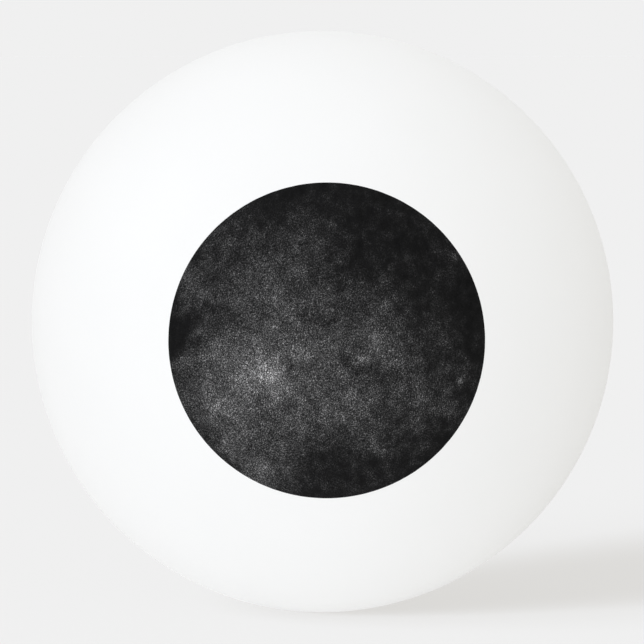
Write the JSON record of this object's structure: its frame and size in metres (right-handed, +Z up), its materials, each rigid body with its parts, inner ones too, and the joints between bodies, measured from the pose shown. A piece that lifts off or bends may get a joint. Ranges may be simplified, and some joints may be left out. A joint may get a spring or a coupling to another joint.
{
  "type": "table tennis ball",
  "caption": "Hollow white table tennis ball: a front and a rear half shell joined by a cemented lap seam, with a weathered dark disc printed on the front.",
  "frame": {"origin": "the ball's centre", "axes": "the printed disc faces -Y and the rear half is at +Y, so Y is the axis that every solid is turned about; the seam lies in the plane Y = 0; +Z is up and +X is to the right of someone looking at the print"},
  "size_m": [0.04, 0.04, 0.04],
  "materials": {
    "shell_plastic": "matt white plastic with a fine moulded grain",
    "cement": "set solvent cement, flush and a shade warmer than the shells",
    "printing_ink": "worn near-black printing ink with grey speckles and cloudy patches"
  },
  "bodies": {
    "root": {"front_half_shell": "shell_plastic", "rear_half_shell": "shell_plastic", "seam_cement": "cement", "printed_disc": "printing_ink"}
  },
  "joints": []
}
